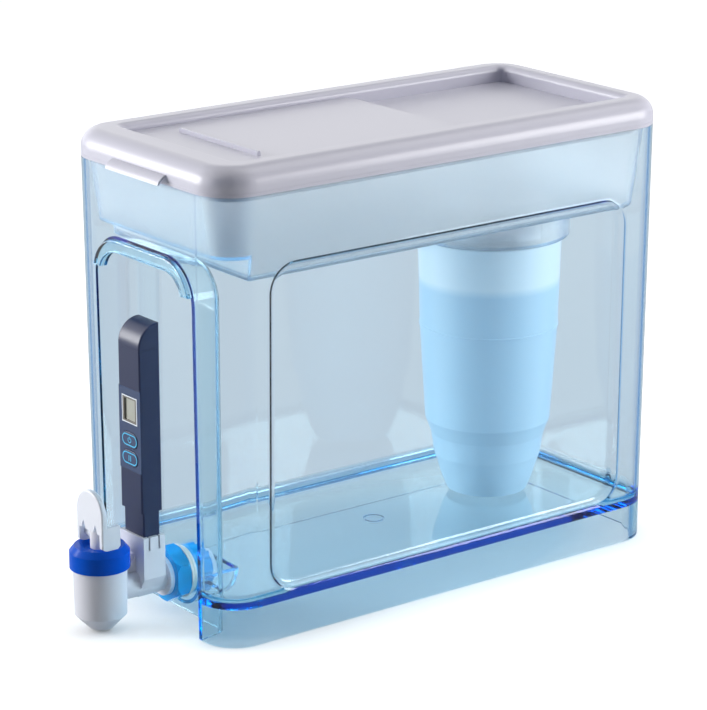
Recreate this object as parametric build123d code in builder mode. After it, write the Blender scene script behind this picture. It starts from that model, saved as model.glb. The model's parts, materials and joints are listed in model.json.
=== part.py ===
from build123d import *
import math
import os

os.makedirs("parts", exist_ok=True)

# A gravity water filter for a counter edge or shelf: a clear tank with a tap, a reservoir hung in
# its rim, a filter under the reservoir, a lid with a sliding fill door, and a water tester that
# stands in a holder on the tap. Millimetres. X is the width, the tap looks to -Y, Z is up, and the
# origin is at table level in the middle of the whole outline.

# ---- sizes: fits ---------------------------------------------------------------------------
running_gap = 0.06          # a shaft or pin in its bore, on the radius
seat_gap = 0.05             # between flat faces that rest on each other
slide_gap = 0.3             # between pieces that slide past or lie beside each other
overrun = 1.0               # a cutting or joining shape runs this far past the face it meets

# ---- sizes: tank ---------------------------------------------------------------------------
tank_width = 177.0
tank_length = 375.0
tank_height = 298.0
tank_corner = 28.0
tank_draft = 0.57           # degrees, every outer wall leans in towards the foot
tank_wall = 2.5
tank_edge_round = 1.0
floor_top = 28.2            # height of the tank's floor over the table
floor_thickness = 3.0
floor_round = 8.0           # between the floor and the walls

panel_front_margin = 38.8   # tank front to the sunken panel in each long side
panel_back_margin = 37.5
panel_drop = 46.0           # rim to the panel's upper edge
panel_rise = 3.8            # floor to the panel's lower edge
panel_depth = 5.0
panel_corner = 20.0
panel_slope = 38.0          # degrees, the panel's edge faces lean this far
panel_edge_round = 4.5      # where the panel meets its sloped edge
panel_rim_round = 4.5       # where the sloped edge meets the wall

niche_width = 111.0         # arched niche in the front, where the tap stands
niche_drop = 47.0           # rim to the arch
niche_depth = 25.5
niche_corner = 28.0
niche_slope = 14.0          # degrees, draft of the niche's sides
niche_round = 8.0           # between the niche's sides and its back
brow_width = 8.5            # thick lip under the niche's arch
brow_depth = 4.0
brow_proud = 2.0
brow_drop = 21.0            # arch to the lip's two cut ends
brow_round = 1.2

gate_mark_radius = 7.5      # shallow ring left by moulding in the floor's middle
gate_mark_width = 1.2
gate_mark_depth = 0.8

# ---- sizes: tap ----------------------------------------------------------------------------
tap_reach = 56.75           # tank front to the foremost point of the tap
bonnet_wall = 3.65
bonnet_foot = 43.9
bonnet_skirt = 11.1         # height of the collar's upright side
bonnet_bevel = 3.25
bonnet_bevel_height = 4.0
bonnet_cap_thickness = 3.4
bonnet_dish_radius = 9.5
bonnet_dish_depth = 2.0
barrel_radius = 17.75
barrel_foot = 11.4
barrel_draft = 0.6          # the barrel is this much slimmer at its foot
nozzle_foot = 2.0
nozzle_radius = 8.0
nozzle_bore = 6.0
nozzle_land = 1.0           # straight bore at the outlet
barrel_wall = 2.25
chamber_radius = 13.5
chamber_floor = 19.0
seat_web = 3.5
seat_bore = 6.5
neck_wall = 2.4
neck_height = 7.1           # neck inside the collar

tube_radius = 9.8
tube_bore = 7.0
shank_radius = 11.8
shank_thread_left = 6.0     # shank past the inner nut
flange_radius = 13.6
flange_thickness = 3.0
gasket_thickness = 2.0
gasket_radius = 18.0
outer_nut_radius = 20.0     # over its corners
outer_nut_thickness = 11.0
inner_nut_radius = 16.5
inner_nut_thickness = 10.0
inner_nut_flutes = 8
flute_radius = 2.6
nut_chamfer = 2.6

sump_room = 4.0             # trough in the tank floor, past the inner nut
sump_end_room = 11.0        # and past the shank's end
sump_clearance = 3.5        # trough's underside over the table
sump_round = 5.0

stem_radius = 6.0
stem_rise = 5.0             # valve seat to the stem's flange
stem_flange_radius = 10.5
stem_flange_thickness = 3.0
stem_over_pin = 5.45
stem_round = 1.5
spigot_radius = 3.0
spigot_length = 2.5
seat_cup_radius = 9.5
seat_cup_round = 1.0
spring_radius = 8.2
spring_wire = 0.8           # radius of the wire
spring_turns = 6

lift_per_radian = 2.8       # stem lift for each radian that the lever turns
lever_turn = 40.0           # degrees, full pull
pin_height = 6.0            # lever pin over the bonnet
pin_radius = 1.6
pin_chamfer = 0.3
pin_cover = 1.2             # cheek left outside each end of the pin
lever_width = 30.8
lever_rise = 31.95          # pin to the tongue's top
tongue_front = 7.4          # tongue's front face, forward of the pin
tongue_thickness = 4.2
tongue_foot = 7.6           # tongue's lower edge between the cheeks, over the pin
lobe_drop = 2.7             # thin skirt under the tongue
lobe_thickness = 1.05
notch_place = 7.0           # V notches in it, from the middle
notch_width = 5.0
notch_height = 5.6
lever_round = 1.2
cheek_thickness = 3.4
cheek_top = 9.6             # over the pin
cheek_back = 6.4            # behind the pin
cheek_heel = 2.0            # chamfer at the cheek's lower back corner
cheek_boss_radius = 3.7

# ---- sizes: water tester and its holder ------------------------------------------------------
tester_setback = 4.55       # holder to the tap's flange
tester_foot_gap = 3.5       # tester's tip over the holder's floor
tip_length = 32.0           # the case is slimmer along its tip
tip_inset = 1.0
tip_inset_deep = 1.7
nose_flat = 0.5             # case depth behind the round nose
nose_lift = 1.5
case_wall = 1.8
case_round = 1.2
tip_round = 1.0
plug_depth = 5.0            # battery cap's plug inside the case
label_bottom = 104.0
label_depth = 0.5
label_foot_margin = 3.2     # label's lower edge to the lower button
label_head_margin = 5.5
button_space = 2.0
window_space = 6.0          # upper button to the window
window_width = 17.5
window_height = 18.5
window_thickness = 1.2
glass_width = 12.6
glass_height = 14.6
lcd_thickness = 1.6
board_thickness = 1.6
board_foot_gap = 2.0        # board over the tip
dome_radius = 2.4
dome_gap = 0.1              # dome to a pressed button
button_width = 17.6
button_height = 10.4
button_proud = 0.5
button_travel = 0.5
button_round = 0.35
button_depth = 1.5          # button behind the case's front face
coin_radius = 7.9
coin_thickness = 5.4
coin_play = 1.0
tray_side = 2.3
tray_rim = 1.2
bay_gap = 3.75              # circuit board to the battery tray
probe_radius = 0.9
probe_length = 2.6
probe_tail = 14.0           # inside the case
probe_spacing = 7.0

holder_wall_x = 2.4
holder_wall_y = 1.75
holder_top = 60.5
holder_floor = 41.5
holder_foot = 18.0
holder_foot_width = 12.0
holder_cheek = 32.0         # below this height the holder narrows to the tube
holder_slit = 1.4
holder_slit_depth = 9.0
holder_slit_spacing = 7.6
gusset_top = 47.5           # web between the holder and the tube
gusset_thickness = 7.0
gusset_round = 22.0

# ---- sizes: reservoir ----------------------------------------------------------------------
reservoir_side_gap = 2.8    # reservoir to tank wall at the rim
reservoir_end_gap = 2.8
reservoir_wall = 2.2
reservoir_corner = 24.0
reservoir_draft = 8.0       # degrees
reservoir_drop = 58.0       # rim to the reservoir's underside
reservoir_flange = 2.2
reservoir_step_gap = 2.0    # reservoir's front step over the niche's arch
reservoir_round = 3.0
socket_margin = 12.0        # filter's lugs to the socket's outer face
socket_drop = 22.3          # reservoir's underside to the socket's
socket_wall = 2.3
socket_round = 1.5

# ---- sizes: filter -------------------------------------------------------------------------
filter_back_margin = 85.9   # filter axis to the tank's back
neck_ring_radius = 39.6
neck_ring_wall = 2.0
neck_ring_rise = 6.3        # over the socket's underside
lug_count = 3
lug_reach = 3.9
lug_angle = 30.0
lug_thickness = 2.6
notch_play = 3.0            # degrees, notch past the lug on each side
filter_seam = 152.0
filter_floor_gap = 3.8      # filter's foot over the tank's floor
filter_skin = 1.6
seam_bead = 0.6
seam_bead_height = 2.4
seal_gap = 2.4              # neck ring to the seal
seal_width = 6.0
seal_thickness = 1.7
seal_margin = 2.0           # seal to the edge of the filter's head
media_gap = 0.3
resin_rise = 60.0           # filter's foot to the resin
foam_thickness = 9.0
membrane_thickness = 2.0
screen_thickness = 1.5
screen_hole = 1.5
screen_pitch = 4.4
screen_rows = 6
outlet_hole = 2.0
outlet_count = 6
outlet_pitch_radius = 15.0
# outer radius of the filter's shells, and how far over the foot each step lies
foot_radius = 28.6
heel_radius = 32.0
heel_rise = 8.0
waist_radius = 37.5
waist_rise = 26.0
shoulder_foot_radius = 40.0
shoulder_foot_rise = 41.0
shoulder_radius = 44.0
shoulder_rise = 52.0
seam_radius = 48.3

# ---- sizes: lid and fill door ----------------------------------------------------------------
lid_height = 18.5           # over the tank's rim
lid_wall = 2.5
lid_lip = 1.2
lid_round = 12.0
groove_height = 2.2
groove_size = 0.6
well_side_margin = 22.5     # lid edge to the sunken well in its top
well_front_margin = 28.5
well_back_margin = 20.5
well_corner = 5.0
well_floor_height = 7.0     # over the tank's rim
well_round = 4.5
web_thickness = 2.2
door_length = 189.0
door_height = 6.0
door_plate = 2.4
door_rim = 2.4
door_corner = 8.0
door_round = 0.8
rib_length = 88.0
rib_thickness = 2.6
rib_height = 3.2
rib_margin = 33.0           # door front to the pull rib
rib_draft = 4.0             # degrees
rib_round = 0.5
fill_width = 104.0
fill_length = 112.0
fill_margin = 24.0          # door front to the fill opening
fill_corner = 10.0
pull_tab_width = 60.0
pull_tab_reach = 6.5
pull_tab_foot = 0.6         # over the lid's lower edge
pull_tab_height = 6.2
pull_tab_wall = 1.4
pull_tab_round = 8.5
locating_rib = 1.8
locating_drop = 6.0
locating_gap = 1.1          # rib to the reservoir's wall

# ---- places worked out from the sizes ----------------------------------------------------------
tank_y = tap_reach / 2
front_y = tank_y - tank_length / 2
back_y = tank_y + tank_length / 2
neck_radius = chamber_radius + neck_wall
bonnet_radius = neck_radius + slide_gap + bonnet_wall
tap_y = front_y - tap_reach + bonnet_radius
sump_radius = inner_nut_radius + sump_room
shank_height = sump_clearance + tank_wall + sump_radius
shank_inner_reach = gasket_thickness + inner_nut_thickness + shank_thread_left
niche_y = front_y + niche_depth
niche_inner_y = niche_y + tank_wall
sump_end = niche_inner_y + shank_inner_reach + sump_end_room
lean = math.tan(math.radians(tank_draft))
niche_top = tank_height - niche_drop
niche_foot = overrun + (niche_depth + tank_wall) * math.tan(math.radians(niche_slope))
brow_foot = niche_top - brow_drop
panel_top = tank_height - panel_drop
panel_bottom = floor_top + panel_rise
floor_underside = floor_top - floor_thickness
lid_foot = tank_height + 3 * seat_gap


def level(height):
    """Plane at this height, centred on the tank."""
    return Plane((0, tank_y, height))


def facing_front(y):
    """Upright plane that looks to -Y, with X to the right and Z up."""
    return Plane((0, y, 0), x_dir=(1, 0, 0), z_dir=(0, -1, 0))


def sideways(x, y=0, z=0):
    """Upright plane that looks to +X, with Y to the right and Z up."""
    return Plane((x, y, z), x_dir=(0, 1, 0), z_dir=(1, 0, 0))


def lean_in(height):
    """How far the tank's outer wall stands in from its rim at this height."""
    return (tank_height - height) * lean


def finish(piece, name):
    """Name a finished piece and write its file."""
    piece.part.label = name
    export_step(piece.part, f"parts/{name}.step")


# ============================================================================================
# Tank
# ============================================================================================
with BuildPart() as tank_form:
    with BuildSketch(level(tank_height)):
        RectangleRounded(tank_width, tank_length, tank_corner)
    extrude(amount=-tank_height, taper=tank_draft)
    fillet(faces().sort_by(Axis.Z)[0].edges(), tank_edge_round)

with BuildPart() as tank_hollow:
    with BuildSketch(level(tank_height)):
        RectangleRounded(tank_width - 2 * tank_wall, tank_length - 2 * tank_wall, tank_corner - tank_wall)
    extrude(amount=floor_top - tank_height, taper=tank_draft)
    fillet(faces().sort_by(Axis.Z)[0].edges(), floor_round)

with BuildPart() as foot_hollow:
    foot_inset = 2 * (tank_wall + lean_in(floor_underside))
    with BuildSketch(level(floor_underside)):
        RectangleRounded(tank_width - foot_inset, tank_length - foot_inset, tank_corner - tank_wall)
    extrude(amount=-floor_underside, taper=tank_draft)


def side_panel(margin, depth):
    """Sloped-edge block over the sunken side panel, larger all round by the margin."""
    wall_plane = Plane(
        (tank_width / 2, tank_y, tank_height),
        x_dir=(0, 1, 0),
        z_dir=(math.cos(math.radians(tank_draft)), 0, -math.sin(math.radians(tank_draft))),
    )
    length = tank_length - panel_front_margin - panel_back_margin
    height = panel_top - panel_bottom
    middle = ((panel_front_margin - panel_back_margin) / 2, (panel_top + panel_bottom) / 2 - tank_height)
    with BuildPart() as block:
        with BuildSketch(wall_plane):
            with Locations(middle):
                RectangleRounded(length + 2 * margin, height + 2 * margin, panel_corner + margin)
        extrude(amount=-depth, taper=panel_slope)
        fillet(block.faces().sort_by(Axis.X)[0].edges(), panel_edge_round)
        mirror(about=Plane.YZ)
    return block.part


def niche_block(margin, depth):
    """Arched block over the front niche, larger all round by the margin."""
    with BuildPart() as block:
        with BuildSketch(facing_front(front_y)):
            with Locations((0, (niche_top + margin - niche_foot) / 2)):
                Rectangle(niche_width + 2 * margin, niche_top + margin + niche_foot)
            fillet(vertices().group_by(Axis.Y)[-1], niche_corner + margin)
        extrude(amount=-depth, taper=niche_slope)
        back_edges = block.faces().sort_by(Axis.Y)[-1].edges().sort_by(Axis.Z)[1:]
        fillet(back_edges, niche_round + margin)
        # the tank's front leans in, so the block runs on straight ahead of it
        with BuildSketch(facing_front(front_y)):
            with Locations((0, (niche_top + margin - niche_foot) / 2)):
                Rectangle(niche_width + 2 * margin, niche_top + margin + niche_foot)
            fillet(vertices().group_by(Axis.Y)[-1], niche_corner + margin)
        extrude(amount=overrun)
    return block.part


def sump_block(radius, start_y, end_y, top):
    """Trough along Y round the shank's axis, flat at this height, from one place to the other."""
    with BuildPart() as block:
        with BuildSketch(facing_front(start_y)):
            with Locations((0, shank_height)):
                Circle(radius)
            with Locations((0, shank_height + radius)):
                Rectangle(2 * radius, 2 * radius)
            with Locations((0, top + 2 * radius)):
                Rectangle(2 * radius + overrun, 4 * radius, mode=Mode.SUBTRACT)
        extrude(amount=start_y - end_y)
        fillet(block.faces().sort_by(Axis.Y)[-1].edges().sort_by(Axis.Z)[0], sump_round)
    return block.part


with BuildPart() as brow:
    with BuildSketch(facing_front(front_y - brow_proud)):
        with Locations((0, niche_top / 2)):
            Rectangle(niche_width, niche_top)
        fillet(vertices().group_by(Axis.Y)[-1], niche_corner)
        with Locations((0, (niche_top - brow_width) / 2)):
            Rectangle(niche_width - 2 * brow_width, niche_top - brow_width, mode=Mode.SUBTRACT)
    extrude(amount=-brow_depth - brow_proud)
    # round the opening's upper corners to keep the lip's width, then cut the lip's two ends
    inner_corners = brow.edges().filter_by(Axis.Y).group_by(Axis.Z)[-2]
    fillet(inner_corners, niche_corner - brow_width)
    split(bisect_by=Plane.XY.offset(brow_foot))
    fillet(brow.faces().filter_by(Axis.Y).edges().filter_by(GeomType.CIRCLE), brow_round)

with BuildPart() as tank:
    add(tank_form.part)
    add(tank_hollow.part, mode=Mode.SUBTRACT)
    add(foot_hollow.part, mode=Mode.SUBTRACT)
    # walls that stand in behind the panels, round the niche and round the sump
    add(side_panel(tank_wall, panel_depth + tank_wall) & tank_form.part)
    add(niche_block(tank_wall, niche_depth + tank_wall) & tank_form.part)
    sump_middle = floor_underside + floor_thickness / 2
    add(sump_block(sump_radius + tank_wall, niche_y + tank_wall / 2, sump_end + tank_wall, sump_middle))
    add(side_panel(0, panel_depth), mode=Mode.SUBTRACT)
    add(niche_block(0, niche_depth), mode=Mode.SUBTRACT)
    add(sump_block(sump_radius, niche_inner_y, sump_end, floor_top + overrun), mode=Mode.SUBTRACT)
    with BuildSketch(facing_front(niche_y - overrun)):
        with Locations((0, shank_height)):
            Circle(shank_radius + slide_gap)
    extrude(amount=-tank_wall - 2 * overrun, mode=Mode.SUBTRACT)
    # soft rims on the two panels
    for end in (0, -1):
        fillet(tank.faces().sort_by(Axis.X)[end].inner_wires()[0].edges(), panel_rim_round)
    # ring left by moulding
    with BuildSketch(level(floor_top)):
        Circle(gate_mark_radius)
        Circle(gate_mark_radius - gate_mark_width, mode=Mode.SUBTRACT)
    extrude(amount=-gate_mark_depth, mode=Mode.SUBTRACT)
    add(brow.part)
finish(tank, "tank")


# ============================================================================================
# Tap
# ============================================================================================
barrel_plane = sideways(0, tap_y)
tap_axis = Axis((0, tap_y, 0), (0, 0, 1))
outer_gasket_y = niche_y - gasket_thickness
outer_nut_y = outer_gasket_y - outer_nut_thickness
flange_y = outer_nut_y - flange_thickness
inner_gasket_y = niche_inner_y + gasket_thickness
shank_end_y = niche_inner_y + shank_inner_reach
bonnet_shoulder = bonnet_foot + bonnet_skirt
bonnet_top = bonnet_shoulder + bonnet_bevel_height
neck_top = bonnet_foot + neck_height
stem_foot = chamber_floor + stem_rise

tester_width = 2 * (coin_radius + tray_side + slide_gap + case_wall)
tester_depth = 2 * (coin_thickness + slide_gap + case_wall) + coin_play
tip_width = tester_width - 2 * tip_inset
tip_depth = tester_depth - 2 * tip_inset_deep
holder_width = tip_width + 2 * (slide_gap + holder_wall_x)
holder_depth = tip_depth + 2 * (slide_gap + holder_wall_y)
tester_y = flange_y - tester_setback - holder_depth / 2
tester_front_y = tester_y - tester_depth / 2
tester_back_y = tester_y + tester_depth / 2

with BuildPart() as tap_body:
    # barrel and nozzle, turned about the tap's axis
    with BuildSketch(barrel_plane):
        Polygon(
            (0, nozzle_foot),
            (nozzle_radius, nozzle_foot),
            (barrel_radius - barrel_draft, barrel_foot),
            (barrel_radius, bonnet_foot - seat_gap),
            (neck_radius, bonnet_foot - seat_gap),
            (neck_radius, neck_top),
            (0, neck_top),
        )
    revolve(axis=tap_axis)
    # tube to the tank, flange and threaded shank
    with BuildSketch(facing_front(tap_y)):
        with Locations((0, shank_height)):
            Circle(tube_radius)
    extrude(amount=tap_y - flange_y)
    with BuildSketch(facing_front(flange_y)):
        with Locations((0, shank_height)):
            Circle(flange_radius)
    extrude(amount=-flange_thickness)
    with BuildSketch(facing_front(outer_nut_y)):
        with Locations((0, shank_height)):
            Circle(shank_radius)
    extrude(amount=outer_nut_y - shank_end_y)
    # holder for the tester: a block that narrows down to the tube
    with BuildSketch(facing_front(tester_y - holder_depth / 2)):
        Polygon(
            (-holder_width / 2, holder_top),
            (-holder_width / 2, holder_cheek),
            (-holder_foot_width / 2, holder_foot),
            (holder_foot_width / 2, holder_foot),
            (holder_width / 2, holder_cheek),
            (holder_width / 2, holder_top),
        )
    extrude(amount=-holder_depth)
    # web that runs from the barrel up to the holder's front
    web_start = tap_y + barrel_radius - barrel_wall
    web_end = tester_y - holder_depth / 2
    with BuildSketch(sideways(-gusset_thickness / 2)):
        with BuildLine():
            Line((web_start, shank_height), (web_end + overrun, shank_height))
            Line((web_end + overrun, shank_height), (web_end + overrun, gusset_top))
            Line((web_end + overrun, gusset_top), (web_end, gusset_top))
            RadiusArc((web_end, gusset_top), (web_start, shank_height + tube_radius), gusset_round)
            Line((web_start, shank_height + tube_radius), (web_start, shank_height))
        make_face()
    extrude(amount=gusset_thickness)
    # outlet, seat and chamber
    funnel_radius = barrel_radius - barrel_wall
    funnel_slope = (barrel_radius - barrel_draft - nozzle_radius) / (barrel_foot - nozzle_foot)
    funnel_shoulder = nozzle_foot + nozzle_land + (funnel_radius - nozzle_bore) / funnel_slope
    with BuildSketch(barrel_plane):
        Polygon(
            (0, nozzle_foot),
            (nozzle_bore, nozzle_foot),
            (nozzle_bore, nozzle_foot + nozzle_land),
            (funnel_radius, funnel_shoulder),
            (funnel_radius, chamber_floor - seat_web),
            (seat_bore, chamber_floor - seat_web),
            (seat_bore, chamber_floor),
            (chamber_radius, chamber_floor),
            (chamber_radius, neck_top),
            (0, neck_top),
        )
    revolve(axis=tap_axis, mode=Mode.SUBTRACT)
    # waterway through the tube
    with BuildSketch(facing_front(tap_y)):
        with Locations((0, shank_height)):
            Circle(tube_bore)
    extrude(amount=tap_y - shank_end_y - overrun, mode=Mode.SUBTRACT)
    # socket for the tester's tip, and the slits that make its sides springy
    with BuildSketch(Plane((0, tester_y, holder_top))):
        Rectangle(tip_width + 2 * slide_gap, tip_depth + 2 * slide_gap)
    extrude(amount=holder_floor - holder_top, mode=Mode.SUBTRACT)
    with BuildSketch(Plane((0, tester_y, holder_top))):
        with GridLocations(0, holder_slit_spacing, 1, 2):
            Rectangle(holder_width + 2 * overrun, holder_slit)
    extrude(amount=-holder_slit_depth, mode=Mode.SUBTRACT)
finish(tap_body, "tap_body")

with BuildPart() as bonnet:
    with BuildSketch(barrel_plane):
        Polygon(
            (stem_radius + running_gap, bonnet_shoulder - bonnet_cap_thickness),
            (neck_radius + slide_gap, bonnet_shoulder - bonnet_cap_thickness),
            (neck_radius + slide_gap, bonnet_foot),
            (bonnet_radius, bonnet_foot),
            (bonnet_radius, bonnet_shoulder),
            (bonnet_radius - bonnet_bevel, bonnet_top),
            (bonnet_dish_radius + bonnet_dish_depth, bonnet_top),
            (bonnet_dish_radius, bonnet_top - bonnet_dish_depth),
            (stem_radius + running_gap, bonnet_top - bonnet_dish_depth),
        )
    revolve(axis=tap_axis)
finish(bonnet, "bonnet")

pin_z = bonnet_top + seat_gap + pin_height
stem_top = pin_z + stem_over_pin
lever_top = pin_z + lever_rise

with BuildPart() as stem:
    with BuildSketch(Plane((0, tap_y, stem_foot))):
        Circle(stem_flange_radius)
    extrude(amount=stem_flange_thickness)
    with BuildSketch(Plane((0, tap_y, stem_foot))):
        Circle(stem_radius)
    extrude(amount=stem_top - stem_foot)
    fillet(edges().group_by(Axis.Z)[-1], stem_round)
    # spigot that carries the seat cup
    with BuildSketch(Plane((0, tap_y, stem_foot))):
        Circle(spigot_radius)
    extrude(amount=-spigot_length)
    with BuildSketch(sideways(0, tap_y, pin_z)):
        Circle(pin_radius + running_gap)
    extrude(amount=stem_radius, both=True, mode=Mode.SUBTRACT)
finish(stem, "stem")

with BuildPart() as seat_cup:
    with BuildSketch(Plane((0, tap_y, chamber_floor + seat_gap))):
        Circle(seat_cup_radius)
    extrude(amount=stem_foot - chamber_floor - 2 * seat_gap)
    fillet(edges().group_by(Axis.Z)[0], seat_cup_round)
    with BuildSketch(Plane((0, tap_y, stem_foot))):
        Circle(spigot_radius + seat_gap)
    extrude(amount=-spigot_length - seat_gap, mode=Mode.SUBTRACT)
finish(seat_cup, "seat_cup")

spring_foot = stem_foot + stem_flange_thickness + spring_wire + seat_gap
spring_head = bonnet_shoulder - bonnet_cap_thickness - spring_wire - seat_gap
with BuildPart() as tap_spring:
    with BuildLine() as coil:
        Helix(
            pitch=(spring_head - spring_foot) / spring_turns,
            height=spring_head - spring_foot,
            radius=spring_radius,
            center=(0, tap_y, spring_foot),
        )
    with BuildSketch(Plane(origin=coil.wires()[0] @ 0, z_dir=coil.wires()[0] % 0)):
        Circle(spring_wire)
    sweep(path=coil.wires()[0])
finish(tap_spring, "tap_spring")


def cam_point(turn):
    """Point of the cheek, from the pin, that stands on the bonnet when the lever has turned this far."""
    reach = pin_height + lift_per_radian * turn
    forward = -reach * math.sin(turn) - lift_per_radian * math.cos(turn)
    down = -reach * math.cos(turn) + lift_per_radian * math.sin(turn)
    return (forward, down)


full_turn = math.radians(lever_turn)
cam_steps = 6
cam_points = [cam_point(full_turn * step / cam_steps) for step in range(cam_steps + 1)]

with BuildPart() as lever:
    for side in (-1, 1):
        cheek_x = side * lever_width / 2 - (cheek_thickness if side > 0 else 0)
        with BuildSketch(sideways(cheek_x, tap_y, pin_z)):
            with BuildLine():
                Spline(*cam_points)
                Polyline(
                    cam_points[-1],
                    (-tongue_front, cam_points[-1][1] + overrun),
                    (-tongue_front, cheek_top),
                    (cheek_back, cheek_top),
                    (cheek_back, cheek_heel - pin_height),
                    (cheek_back - cheek_heel, -pin_height),
                    cam_points[0],
                )
            make_face()
        extrude(amount=cheek_thickness)
        boss_x = side * (lever_width / 2 - cheek_thickness)
        with BuildSketch(sideways(boss_x, tap_y, pin_z)):
            Circle(cheek_boss_radius)
        extrude(amount=-side * (abs(boss_x) - stem_radius - slide_gap))
    # tongue with a round top, that joins the two cheeks above the stem
    with BuildSketch(facing_front(tap_y - tongue_front)):
        arc_z = lever_top - lever_width / 2
        tongue_z = pin_z + tongue_foot
        with Locations((0, (arc_z + tongue_z) / 2)):
            Rectangle(lever_width, arc_z - tongue_z)
        with Locations((0, arc_z)):
            Circle(lever_width / 2)
        with Locations((0, tongue_z - lever_width / 2)):
            Rectangle(lever_width, lever_width, mode=Mode.SUBTRACT)
    extrude(amount=-tongue_thickness)
    lobe_z = tongue_z - lobe_drop
    with BuildSketch(facing_front(tap_y - tongue_front)):
        with Locations((0, (lobe_z + tongue_z) / 2)):
            Rectangle(lever_width - cheek_thickness, lobe_drop)
    extrude(amount=-lobe_thickness)
    with BuildSketch(facing_front(tap_y - tongue_front)):
        for middle in (-notch_place, notch_place):
            Polygon(
                (middle - notch_width / 2, lobe_z),
                (middle + notch_width / 2, lobe_z),
                (middle, lobe_z + notch_height),
            )
    extrude(amount=-tongue_thickness, mode=Mode.SUBTRACT)
    tongue_rims = lever.edges().filter_by(GeomType.CIRCLE).filter_by(lambda e: e.radius > lever_width / 3)
    fillet(tongue_rims, lever_round)
    with BuildSketch(sideways(0, tap_y, pin_z)):
        Circle(pin_radius + running_gap)
    extrude(amount=lever_width / 2 - pin_cover, both=True, mode=Mode.SUBTRACT)
finish(lever, "lever")

with BuildPart() as lever_pin:
    with BuildSketch(sideways(0, tap_y, pin_z)):
        Circle(pin_radius)
    extrude(amount=lever_width / 2 - pin_cover - seat_gap, both=True)
    chamfer(edges(), pin_chamfer)
finish(lever_pin, "lever_pin")

with BuildPart() as outer_nut:
    with BuildSketch(facing_front(outer_nut_y + seat_gap)):
        with Locations((0, shank_height)):
            RegularPolygon(outer_nut_radius, 6, rotation=30)
            Circle(shank_radius + running_gap, mode=Mode.SUBTRACT)
    extrude(amount=2 * seat_gap - outer_nut_thickness)
    # turned corners on both faces of the hexagon
    with BuildSketch(sideways(0, 0, shank_height), mode=Mode.PRIVATE) as corner_turn:
        Polygon(
            (outer_nut_y - overrun, 0),
            (outer_nut_y - overrun, outer_nut_radius - nut_chamfer),
            (outer_nut_y + nut_chamfer, outer_nut_radius),
            (outer_gasket_y - nut_chamfer, outer_nut_radius),
            (outer_gasket_y + overrun, outer_nut_radius - nut_chamfer),
            (outer_gasket_y + overrun, 0),
        )
    revolve(corner_turn.sketch, axis=Axis((0, 0, shank_height), (0, 1, 0)), mode=Mode.INTERSECT)
finish(outer_nut, "outer_nut")

gaskets = {"outer_gasket": (outer_gasket_y, gasket_radius), "inner_gasket": (niche_inner_y, inner_nut_radius)}
for name, (start_y, radius) in gaskets.items():
    with BuildPart() as gasket:
        with BuildSketch(facing_front(start_y + seat_gap)):
            with Locations((0, shank_height)):
                Circle(radius)
                Circle(shank_radius + slide_gap, mode=Mode.SUBTRACT)
        extrude(amount=-gasket_thickness + 2 * seat_gap)
    finish(gasket, name)

with BuildPart() as inner_nut:
    with BuildSketch(facing_front(inner_gasket_y + seat_gap)):
        with Locations((0, shank_height)):
            Circle(inner_nut_radius)
            Circle(shank_radius + running_gap, mode=Mode.SUBTRACT)
    extrude(amount=seat_gap - inner_nut_thickness)
    # finger flutes round the rim
    with BuildSketch(facing_front(inner_gasket_y + flute_radius)):
        with Locations((0, shank_height)):
            with PolarLocations(inner_nut_radius + flute_radius / 2, inner_nut_flutes):
                Circle(flute_radius)
    extrude(amount=-inner_nut_thickness, mode=Mode.SUBTRACT)
finish(inner_nut, "inner_nut")

# ============================================================================================
# Water tester
# ============================================================================================
case_front = facing_front(tester_front_y)
hold_z = label_bottom + label_foot_margin + button_height / 2
power_z = hold_z + button_height + button_space
button_heights = {"power_button": power_z, "hold_button": hold_z}
window_bottom = power_z + button_height / 2 + window_space
window_top = window_bottom + window_height
window_middle = (window_bottom + window_top) / 2
label_top = window_top + label_head_margin
tray_bottom = label_top + bay_gap
coin_z = tray_bottom + tray_rim + coin_radius
tray_top = coin_z + coin_radius + tray_rim
cap_seam = tray_top + seat_gap + plug_depth
tester_nose = tester_depth - nose_flat
tester_top = cap_seam + tester_nose + nose_lift
tester_foot = holder_floor + tester_foot_gap
tester_waist = tester_foot + tip_length
board_foot = tester_waist + board_foot_gap


def case_side_outline(low, high):
    """Side outline of the tester's upper case between two heights, with its round nose."""
    with BuildPart() as block:
        with BuildSketch(sideways(-tester_width / 2)):
            with BuildLine():
                nose_z = tester_top - tester_nose
                Line((tester_front_y, low), (tester_front_y, nose_z))
                RadiusArc((tester_front_y, nose_z), (tester_front_y + tester_nose, tester_top), tester_nose)
                Line((tester_front_y + tester_nose, tester_top), (tester_back_y, tester_top))
                Line((tester_back_y, tester_top), (tester_back_y, low))
                Line((tester_back_y, low), (tester_front_y, low))
            make_face()
        extrude(amount=tester_width)
        fillet(block.edges().filter_by(Axis.Z), case_round)
        if high < tester_top:
            split(bisect_by=Plane.XY.offset(high), keep=Keep.BOTTOM)
    return block.part


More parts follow.
